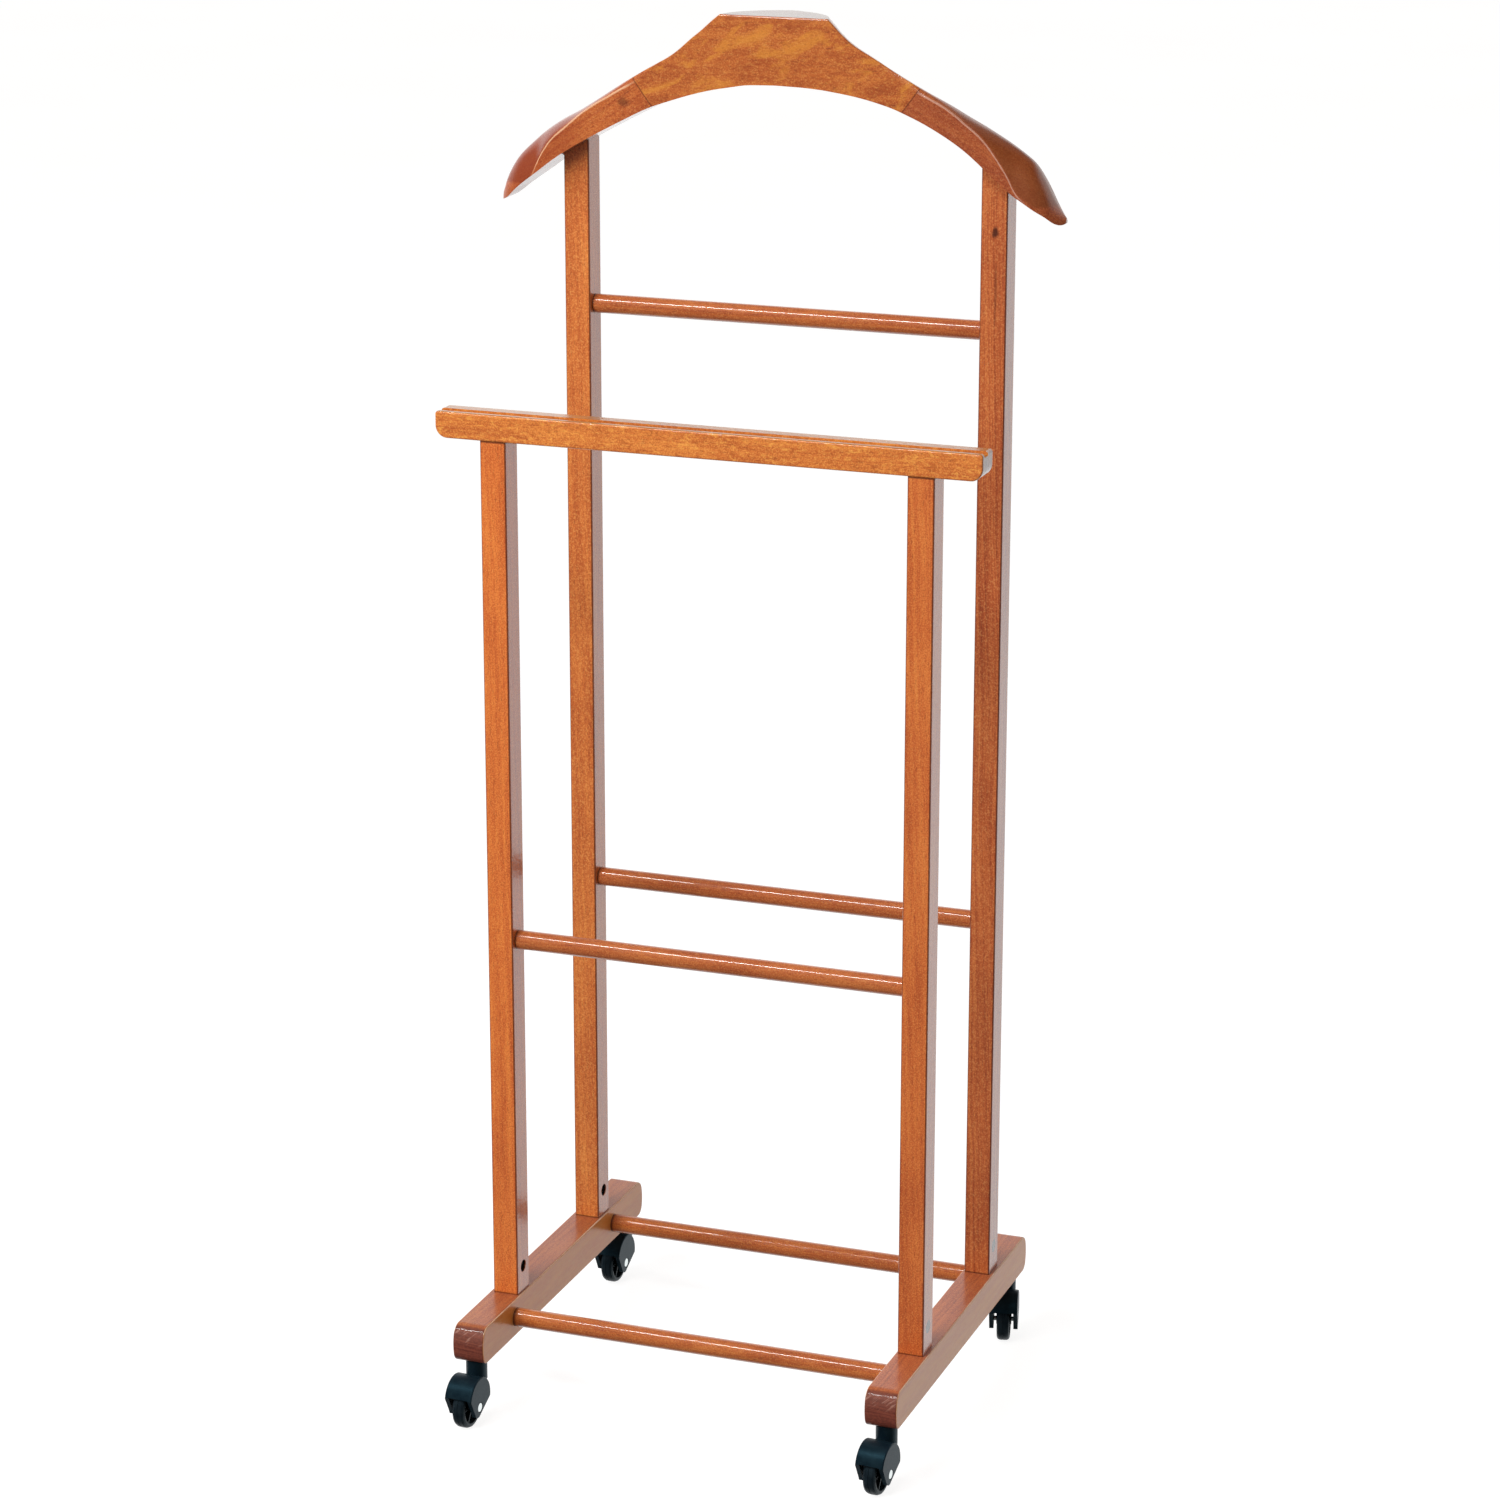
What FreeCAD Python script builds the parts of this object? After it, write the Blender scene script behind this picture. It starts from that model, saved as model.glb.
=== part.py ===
import FreeCAD, Part
import os, math
from FreeCAD import Vector as V

# Valet stand: a wooden clothes butler on four swivel casters.
# Frame: +Z up, floor at z = 0, X = left to right seen from the front,
# -Y = front.  The origin is on the floor, under the middle of the whole stand.
# All lengths are in millimetres.

os.makedirs("parts", exist_ok=True)

# ---------------------------------------------------------------- driving dimensions
oy = 11.4               # shift that puts the box of the whole stand on Y = 0

# foot rails
rail_xi, rail_xo = 157.1, 182.7         # inner and outer faces
rail_y0, rail_y1 = -170.5 + oy, 166.5 + oy
rail_z0, rail_z1 = 51.5, 82.0
rail_rt, rail_rb = 10.5, 8.5            # end rounding, top and bottom
rail_edge = 1.1                         # long edges

# posts
post_xi, post_xo = 158.7, 179.7
post_d = 23.1
fpost_y0 = -96.8 + oy                   # front face of the front posts
rpost_y0 = 72.5 + oy                    # front face of the rear posts
fpost_z1 = 773.5
post_edge = 1.4
px = (post_xi + post_xo) / 2
fpy = fpost_y0 + post_d / 2
rpy = rpost_y0 + post_d / 2

# dowel rungs
dow_r = 7.5
dow_in = 12.0                           # depth of each blind socket
z_upper, z_lower, z_front = 848.0, 377.0, 377.0
z_base = 67.0
base_yf, base_yr = -104.2 + oy, 101.6 + oy

# crossbar with the trouser groove
bar_x, bar_h, bar_d = 216.0, 20.5, 24.6
bar_rb, bar_rt = 9.5, 2.5
lip, groove_w, groove_d = 4.2, 8.6, 3.0

# hanger
hang_f, hang_b = 51.6 + oy, 95.6 + oy   # front and back of the hanger
neck_x = 43.0
neck_over = 0.3                         # the neck is shaped a little tall, then planed flat
hang_top = 1081.0
joint_x, joint_z = 106.0, 1019.5        # a point on the glue joint
joint_n = (0.80, -0.60)                 # its normal in the XZ plane, outwards

# casters
cas_x = 169.9
cas_yf, cas_yr = -154.1 + oy, 152.0 + oy
trail = 17.4
wheel_r, wheel_w = 17.6, 10.4
hub_r, bore_clear = 4.6, 0.08
axle_r, head_r = 2.0, 3.7
hood_r, hood_w, cheek = 17.4, 23.2, 3.4
hood_dy, hood_dz = 0.8, 6.8             # hood centre from the axle: back, up
hood_wall = 1.6
neck_r = 8.4
stem_r = 4.0
sock_r, sock_top = 5.5, 80.0
flange_r, flange_t = 7.6, 0.8
swivels = {                             # rest direction, degrees about +Z
    "front_left": (-cas_x, cas_yf, -3.0),
    "front_right": (cas_x, cas_yf, -5.0),
    "rear_left": (-cas_x, cas_yr, -2.0),
    "rear_right": (cas_x, cas_yr, 14.0),
}

# fasteners
bolt_r, bolt_head_r, bolt_head_t = 3.0, 5.6, 4.0
cbore_r, cbore_d = 6.5, 9.0
nut_r, nut_l, nut_up = 5.0, 13.0, 21.0  # barrel nut radius, length, height over the rail
nut_in = 4.4                            # how far the nut sits below the post's inner face
pin_r = 4.0
hpin_r, hpin_l = 3.0, 24.0


def save(name, shape):
    shape.exportStep("parts/%s.step" % name)
    b = shape.BoundBox
    print("%-26s vol %10.1f  X %.1f..%.1f  Y %.1f..%.1f  Z %.1f..%.1f  %s solids %d" % (
        name, shape.Volume, b.XMin, b.XMax, b.YMin, b.YMax, b.ZMin, b.ZMax,
        "ok" if shape.isValid() else "BAD", len(shape.Solids)))
    boxes.append(b)


boxes = []


def box(x0, x1, y0, y1, z0, z1):
    return Part.makeBox(x1 - x0, y1 - y0, z1 - z0, V(x0, y0, z0))


def cyl(r, h, p, d):
    return Part.makeCylinder(r, h, V(*p), V(*d))


def mirror_x(s):
    m = s.mirror(V(0, 0, 0), V(1, 0, 0))
    return Part.makeSolid(m.Shells[0]) if m.ShapeType == "Solid" else m


def fillet_edges(s, r, test):
    es = [e for e in s.Edges if test(e)]
    try:
        f = s.makeFillet(r, es)
        if f.isValid() and f.Volume > 0:
            return f.Solids[0] if len(f.Solids) == 1 else f
    except Exception as ex:
        print("fillet skipped:", ex)
    return s


def along(e, axis):
    if not isinstance(e.Curve, Part.Line) and type(e.Curve).__name__ != "Line":
        return False
    d = e.Vertexes[-1].Point - e.Vertexes[0].Point
    if d.Length < 1e-6:
        return False
    d.normalize()
    return abs(abs(d.dot(axis)) - 1) < 1e-6


def pilot_chamfer(r, l, c=0.8):
    # a round pin along +Z from the origin with small chamfers at both ends
    w = Part.makePolygon([V(0, 0, 0), V(r - c, 0, 0), V(r, 0, c), V(r, 0, l - c),
                          V(r - c, 0, l), V(0, 0, l), V(0, 0, 0)])
    return Part.Face(w).revolve(V(0, 0, 0), V(0, 0, 1), 360)


def place(s, p, d):
    # turn a shape built along +Z to direction d and move it to p
    r = FreeCAD.Rotation(V(0, 0, 1), V(*d))
    c = s.copy()
    c.Placement = FreeCAD.Placement(V(*p), r)
    return c


# ---------------------------------------------------------------- foot rails
def rail_profile():
    # side view of a rail: flat top and underside, ends rounded above and below
    # and slightly bulged between, every arc tangent to the next
    z0, z1, rt, rb = rail_z0, rail_z1, rail_rt, rail_rb
    bulge, al = 0.9, 0.2
    for i in range(30):
        za, zb = z0 + rb - rb * math.sin(al), z1 - rt + rt * math.sin(al)
        rr = ((zb - za) ** 2 / 4 + bulge ** 2) / (2 * bulge)
        al = math.asin((zb - za) / 2 / rr)
    zm = (za + zb) / 2
    e = []

    def pt(y, z):
        return V(0, y, z)

    def end(ye, s):
        # s = 1 for the rear end, -1 for the front end; returns the edges bottom to top
        cb = (ye - s * (bulge + rb * math.cos(al)), z0 + rb)
        ct = (ye - s * (bulge + rt * math.cos(al)), z1 - rt)
        m1 = (-math.pi / 2 - al) / 2
        m2 = (math.pi / 2 + al) / 2
        return [Part.Arc(pt(cb[0], z0), pt(cb[0] + s * rb * math.cos(m1), cb[1] + rb * math.sin(m1)),
                         pt(ye - s * bulge, za)).toShape(),
                Part.Arc(pt(ye - s * bulge, za), pt(ye, zm), pt(ye - s * bulge, zb)).toShape(),
                Part.Arc(pt(ye - s * bulge, zb), pt(ct[0] + s * rt * math.cos(m2), ct[1] + rt * math.sin(m2)),
                         pt(ct[0], z1)).toShape()], cb[0], ct[0]
    r, rb0, rt0 = end(rail_y1, 1)
    f, fb0, ft0 = end(rail_y0, -1)
    e = [Part.LineSegment(pt(fb0, z0), pt(rb0, z0)).toShape()] + r + [
        Part.LineSegment(pt(rt0, z1), pt(ft0, z1)).toShape()] + f
    w = Part.Wire(Part.__sortEdges__(e))
    return Part.Face(w)


def foot_rail(side):
    f = rail_profile()
    f.translate(V(rail_xi, 0, 0))
    s = f.extrude(V(rail_xo - rail_xi, 0, 0))
    s = fillet_edges(s, rail_edge, lambda e: e.BoundBox.XLength < 1e-6)
    for y in (fpy, rpy):
        s = s.cut(cyl(bolt_r + 0.2, rail_z1 - rail_z0 + 2, (px, y, rail_z0 - 1), (0, 0, 1)))
        s = s.cut(cyl(cbore_r, cbore_d, (px, y, rail_z0), (0, 0, 1)))
    for y in (cas_yf, cas_yr):
        s = s.cut(cyl(sock_r, sock_top - rail_z0 + 1, (cas_x, y, rail_z0 - 1), (0, 0, 1)))
    for y in (base_yf, base_yr):
        s = s.cut(cyl(dow_r, dow_in + 1, (rail_xi - 1, y, z_base), (1, 0, 0)))
    s = s.Solids[0]
    return s if side > 0 else mirror_x(s)


# ---------------------------------------------------------------- hanger shape
# the two arms are shaped by hand and differ a little: R for the right, L for the left
TOP = {"R": [(43.0, 1081.0), (46.5, 1077.6), (51.0, 1073.0), (57.0, 1067.4), (63.5, 1062.4), (81.0, 1052.6),
             (96.0, 1043.8), (112.0, 1034.9), (121.0, 1029.8), (126.0, 1027.1), (136.0, 1021.6), (151.0, 1012.4),
             (169.0, 1002.0), (189.0, 989.4), (202.0, 979.2), (212.0, 963.4), (219.0, 949.8), (223.5, 942.8),
             (226.0, 939.8)],
       "L": [(43.0, 1081.0), (46.0, 1078.8), (51.0, 1074.6), (58.0, 1068.4), (66.0, 1062.0), (81.0, 1049.4),
             (101.0, 1037.8), (119.0, 1027.4), (138.0, 1015.8), (160.0, 1002.6), (179.0, 992.2), (192.0, 983.4),
             (203.5, 973.4), (212.0, 965.0), (217.5, 957.2), (222.0, 948.4), (226.0, 936.4)]}
BOT = {"R": [(0.0, 1029.6), (20.0, 1029.2), (36.5, 1028.2), (50.0, 1026.6), (66.8, 1024.0), (82.0, 1020.6),
             (97.0, 1016.2), (108.0, 1011.8), (119.6, 1006.7), (131.0, 1000.8), (142.2, 994.3), (157.3, 983.8),
             (166.3, 975.8), (176.0, 967.6), (187.4, 958.4), (196.4, 952.5), (205.0, 946.6), (212.9, 941.4),
             (219.0, 936.4), (223.0, 934.8), (226.0, 936.0)],
       "L": [(0.0, 1029.6), (20.0, 1028.8), (35.0, 1026.4), (47.0, 1024.2), (58.4, 1021.5), (70.0, 1018.2),
             (81.6, 1014.4), (100.4, 1007.8), (119.3, 998.6), (143.0, 986.2), (158.0, 978.0), (174.0, 968.2),
             (184.0, 961.2), (193.0, 954.2), (206.0, 944.6), (214.0, 938.2), (221.0, 932.0), (226.0, 929.4)]}
CREASE = {"R": [(0.0, 1079.4), (43.0, 1079.4), (96.0, 1039.8), (112.0, 1031.2), (121.0, 1026.8), (136.0, 1019.2),
                (151.0, 1008.6), (166.0, 996.2), (176.6, 982.8), (185.7, 969.0), (190.0, 960.8), (194.0, 955.6),
                (199.0, 951.8), (206.0, 947.2), (213.0, 942.8), (219.0, 938.2), (226.0, 937.6)],
          "L": [(0.0, 1079.4), (43.0, 1079.4), (112.0, 1027.0), (121.0, 1022.0), (136.0, 1013.4), (152.8, 1003.0),
                (169.6, 989.4), (180.9, 979.6), (187.3, 971.4), (193.0, 961.4), (197.0, 952.8), (201.0, 946.4),
                (207.0, 942.2), (214.0, 937.8), (221.0, 932.6), (226.0, 930.8)]}
FRONT = {"R": [(0.0, 0.0), (190.0, 0.0), (197.0, 0.4), (204.0, 1.8), (211.0, 4.6), (217.0, 8.6), (222.0, 13.4),
               (226.0, 18.0)],
         "L": [(0.0, 0.0), (198.0, 0.0), (206.0, 0.6), (213.0, 2.4), (219.0, 5.0), (223.0, 7.4), (226.0, 9.8)]}
BACK = [(0.0, 0.0), (176.0, 0.0), (188.0, 0.6), (197.0, 2.4), (205.0, 5.4), (212.0, 9.4), (218.0, 13.8),
        (222.0, 17.6), (226.0, 22.4)]
# rounding of the back's top: width in Y and drop in Z
BROUND = [(0.0, 4.0), (60.0, 40.0), (112.0, 39.0), (150.0, 34.0), (190.0, 26.0), (226.0, 2.0)]
BDROP = [(0.0, 3.0), (60.0, 22.0), (96.0, 19.0), (112.0, 18.0), (150.0, 18.0), (190.0, 20.0), (226.0, 2.0)]
CROWN_P = 1.15                          # how fast the crown of the arms falls towards the back
NECK_P = 1.7                            # the neck is D-shaped in plan: a superellipse of this power
NECK_DROP = 24.0
NECK_OUT = {"R": 152.0, "L": 152.0}     # where the arms' own crown takes over fully
NECK_BLEND = 92.0
FROUND = [(0.0, 1.5), (104.0, 1.5), (112.0, 2.5), (121.0, 4.0), (136.0, 8.0), (151.0, 13.0), (166.0, 17.0),
          (186.0, 19.0), (205.0, 16.0), (219.0, 9.0), (226.0, 2.0)]


def lerp(t, x):
    # monotone cubic through a table
    n = len(t)
    if x <= t[0][0]:
        return t[0][1]
    if x >= t[-1][0]:
        return t[-1][1]
    d = [(t[i + 1][1] - t[i][1]) / (t[i + 1][0] - t[i][0]) for i in range(n - 1)]
    m = [d[0]] + [0.0 if d[i - 1] * d[i] <= 0 else 2 * d[i - 1] * d[i] / (d[i - 1] + d[i])
                  for i in range(1, n - 1)] + [d[-1]]
    for i in range(n - 1):
        if x <= t[i + 1][0]:
            h = t[i + 1][0] - t[i][0]
            u = (x - t[i][0]) / h
            return ((1 + 2 * u) * (1 - u) ** 2 * t[i][1] + u * (1 - u) ** 2 * h * m[i]
                    + u * u * (3 - 2 * u) * t[i + 1][1] + u * u * (u - 1) * h * m[i + 1])


def section(x):
    # outline of the hanger at one X: front line, crowned top, back line, underside
    a, sd = abs(x), "R" if x > 0 else "L"
    zt = hang_top if a <= neck_x else lerp(TOP[sd], a)
    if a < neck_x - 1:
        zt += neck_over
    zb = lerp(BOT[sd], a)
    yf = hang_f + lerp(FRONT[sd], a)
    yb = hang_b - lerp(BACK, a)
    w = yb - yf
    zc = min(hang_top - 1.3 if a <= neck_x else lerp(CREASE[sd], a), zt - 0.8)
    zc = max(zc, zb + 1.0)
    rf = lerp(FROUND, a)
    rb = lerp(BROUND, a)
    if rf + rb > 0.96 * w:
        q = 0.96 * w / (rf + rb)
        rf, rb = rf * q, rb * q
    zk = zt - min(lerp(BDROP, a), 0.66 * (zt - zb))
    n = 9
    crown = []
    for i in range(n + 1):
        u = 1 - i / n
        u = u * u * 0.5 + u * 0.5
        crown.append((yb - rb * u, zt - (zt - zk) * (1 - u) ** CROWN_P))
    # near the neck the back follows the D-shaped plan instead
    k = min(1.0, max(0.0, (NECK_OUT[sd] - a) / NECK_BLEND))
    k = k * k * (3 - 2 * k)
    if k > 0:
        x0 = max(neck_x, a)
        x1 = x0 + 1.0
        while zt - lerp(TOP[sd], x1) < min(NECK_DROP, 0.66 * (zt - zb)):
            x1 += 0.25
        ae = a + 9.0 * (1 - min(a, neck_x) / neck_x) ** 2
        d0 = max(w * (1 - (ae / x0) ** NECK_P) ** (1 / NECK_P), rf + 0.4)
        pts = [(d0, zt)]
        for i in range(1, n + 1):
            xf = x0 + (x1 - x0) * (i / n) ** 1.6
            d = w * (1 - (ae / xf) ** NECK_P) ** (1 / NECK_P)
            pts.append((max(d, pts[-1][0] + 0.06), min(zt, lerp(TOP[sd], xf))))
        dome = []
        lim = w
        for d, z in reversed(pts):
            lim = min(d, lim)
            dome.insert(0, (yf + lim, z))
            lim -= 0.02
        crown = [(k * p[0] + (1 - k) * q[0], k * p[1] + (1 - k) * q[1]) for p, q in zip(dome, crown)]
    top = []
    for i in range(n + 1):
        u = i / n
        u = u * u * 0.5 + u * 0.5
        top.append((yf + rf * u, zc + (zt - zc) * (1 - (1 - u) ** 2) ** 0.8))
    return (yf, zb), top, crown, (yb, zb)


def section_wire(x):
    f, top, crown, b = section(x)
    top = [V(x, y, z) for y, z in top]
    crown = [V(x, y, z) for y, z in crown]
    c1, c2 = Part.BSplineCurve(), Part.BSplineCurve()
    c1.interpolate(top)
    c2.interpolate(crown)
    f, b = V(x, *f), V(x, *b)
    return Part.Wire([Part.LineSegment(f, top[0]).toShape(), c1.toShape(),
                      Part.LineSegment(top[-1], crown[0]).toShape(), c2.toShape(),
                      Part.LineSegment(crown[-1], b).toShape(), Part.LineSegment(b, f).toShape()])


neck = Part.makeLoft([section_wire(x) for x in
                      (-43.0, -41.0, -38.0, -34.0, -28.0, -20.0, -10.0, 0.0, 10.0, 20.0, 28.0, 34.0, 38.0, 41.0, 43.0)],
                     True, False)
XS = [43.0, 45.0, 48.0, 52.0, 58.0, 66.0, 75.0, 85.0, 96.0, 107.0, 118.0, 129.0, 140.0, 151.0, 162.0, 172.0,
      181.0, 189.0, 196.0, 202.0, 208.0, 213.0, 217.5, 221.0, 224.0, 226.0]
ang = math.degrees(math.atan2(joint_n[1], joint_n[0]))
arms, outers = {}, {}
for sx in (1, -1):
    arms[sx] = Part.makeLoft([section_wire(sx * x) for x in XS], True, False)
    outer = Part.makeBox(300, 200, 400, V(0, -100, -200))
    outer.Placement = FreeCAD.Placement(V(joint_x, hang_f + 20, joint_z), FreeCAD.Rotation(V(0, 1, 0), -ang))
    outers[sx] = outer if sx > 0 else mirror_x(outer)
shoulder = {sx: arms[sx].common(outers[sx]).Solids[0] for sx in (1, -1)}
shoulder_blank = {sx: shoulder[sx].copy() for sx in (1, -1)}
centre = neck.fuse([arms[sx].cut(outers[sx]).Solids[0] for sx in (1, -1)])
try:
    c2 = centre.removeSplitter()
    if c2.isValid():
        centre = c2
except Exception as ex:
    print("splitter kept:", ex)
centre = centre.cut(box(-60, 60, hang_f - 5, hang_b + 5, hang_top, hang_top + 5)).Solids[0]

# dowel pins across each glue joint, and the pins that join the posts to the hanger
jpins = []
for sx, cx, cz in ((1, 108.2, 1022.5), (-1, 104.8, 1017.9)):
    for y in (hang_f + 7.5, hang_f + 15.5):
        d = (sx * joint_n[0], 0, joint_n[1])
        p = (sx * cx - d[0] * hpin_l / 2, y, cz - d[2] * hpin_l / 2)
        jpins.append((p, d))
for p, d in jpins:
    hole = place(Part.makeCylinder(hpin_r, hpin_l + 1.0), (p[0] - d[0] * 0.5, p[1], p[2] - d[2] * 0.5), d)
    centre = centre.cut(hole)
    sx = 1 if d[0] > 0 else -1
    shoulder[sx] = shoulder[sx].cut(hole)
post_pin_z0, post_pin_z1 = 948.0, 980.0
for sx in (1, -1):
    h = cyl(pin_r, post_pin_z1 + 0.5 - post_pin_z0, (sx * px, rpy, post_pin_z0), (0, 0, 1))
    shoulder[sx] = shoulder[sx].cut(h).Solids[0]
centre = centre.Solids[0]


# ---------------------------------------------------------------- posts
def post(sx, front):
    y0 = fpost_y0 if front else rpost_y0
    yc = fpy if front else rpy
    z1 = fpost_z1 if front else 992.0
    s = box(post_xi, post_xo, y0, y0 + post_d, rail_z1, z1)
    s = fillet_edges(s, post_edge, lambda e: along(e, V(0, 0, 1)))
    if not front:
        # the top is scribed to the underside of the hanger's shoulder
        top = [V(x, y0 - 5, lerp(BOT["R" if sx > 0 else "L"], x) + 0.25) for x in range(150, 190, 3)]
        top = [V(150, y0 - 5, 1050)] + top + [V(187, y0 - 5, 1050), V(150, y0 - 5, 1050)]
        s = s.cut(Part.Face(Part.makePolygon(top)).extrude(V(0, post_d + 10, 0)))
        s = s.cut(shoulder_blank[1] if sx > 0 else mirror_x(shoulder_blank[-1]))
        s = sorted(s.Solids, key=lambda q: -q.Volume)[0]
    # barrel nut hole from the inner face, and the bolt's hole from below
    s = s.cut(cyl(nut_r, 19.0, (post_xi - 1, yc, rail_z1 + nut_up), (1, 0, 0)))
    s = s.cut(cyl(bolt_r + 0.2, nut_up + 12.0, (px, yc, rail_z1 - 1), (0, 0, 1)))
    for z in ([z_front] if front else [z_lower, z_upper]):
        s = s.cut(cyl(dow_r, dow_in + 1, (post_xi - 1, yc, z), (1, 0, 0)))
    if front:
        s = s.cut(cyl(pin_r, 24.0, (px, yc, fpost_z1 - 23.0), (0, 0, 1)))
    else:
        s = s.cut(cyl(pin_r, post_pin_z1 - post_pin_z0 + 0.5, (px, yc, post_pin_z0 - 0.5), (0, 0, 1)))
    s = s.Solids[0]
    return s if sx > 0 else mirror_x(s)


# ---------------------------------------------------------------- crossbar
bar_y0 = fpost_y0 - 0.4
bar_y1 = bar_y0 + bar_d
z0, z1 = fpost_z1, fpost_z1 + bar_h
k = math.sqrt(0.5)
pr = [Part.LineSegment(V(-bar_x + bar_rb, 0, z0), V(bar_x - bar_rb, 0, z0)).toShape(),
      Part.Arc(V(bar_x - bar_rb, 0, z0), V(bar_x - bar_rb + bar_rb * k, 0, z0 + bar_rb - bar_rb * k),
               V(bar_x, 0, z0 + bar_rb)).toShape(),
      Part.LineSegment(V(bar_x, 0, z0 + bar_rb), V(bar_x, 0, z1 - bar_rt)).toShape(),
      Part.Arc(V(bar_x, 0, z1 - bar_rt), V(bar_x - bar_rt + bar_rt * k, 0, z1 - bar_rt + bar_rt * k),
               V(bar_x - bar_rt, 0, z1)).toShape(),
      Part.LineSegment(V(bar_x - bar_rt, 0, z1), V(-bar_x + bar_rt, 0, z1)).toShape(),
      Part.Arc(V(-bar_x + bar_rt, 0, z1), V(-bar_x + bar_rt - bar_rt * k, 0, z1 - bar_rt + bar_rt * k),
               V(-bar_x, 0, z1 - bar_rt)).toShape(),
      Part.LineSegment(V(-bar_x, 0, z1 - bar_rt), V(-bar_x, 0, z0 + bar_rb)).toShape(),
      Part.Arc(V(-bar_x, 0, z0 + bar_rb), V(-bar_x + bar_rb - bar_rb * k, 0, z0 + bar_rb - bar_rb * k),
               V(-bar_x + bar_rb, 0, z0)).toShape()]
f = Part.Face(Part.Wire(pr))
f.translate(V(0, bar_y0, 0))
bar = f.extrude(V(0, bar_d, 0))
bar = fillet_edges(bar, 1.6, lambda e: along(e, V(1, 0, 0)))
gy0 = bar_y0 + lip
bar = bar.cut(box(-bar_x - 1, bar_x + 1, gy0, gy0 + groove_w, z1 - groove_d, z1 + 5))
bpin_z0, bpin_z1 = fpost_z1 - 22.0, fpost_z1 + 13.0
for sx in (1, -1):
    bar = bar.cut(cyl(pin_r, 14.0, (sx * px, fpy, fpost_z1 - 0.5), (0, 0, 1)))
bar = bar.Solids[0]


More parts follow.
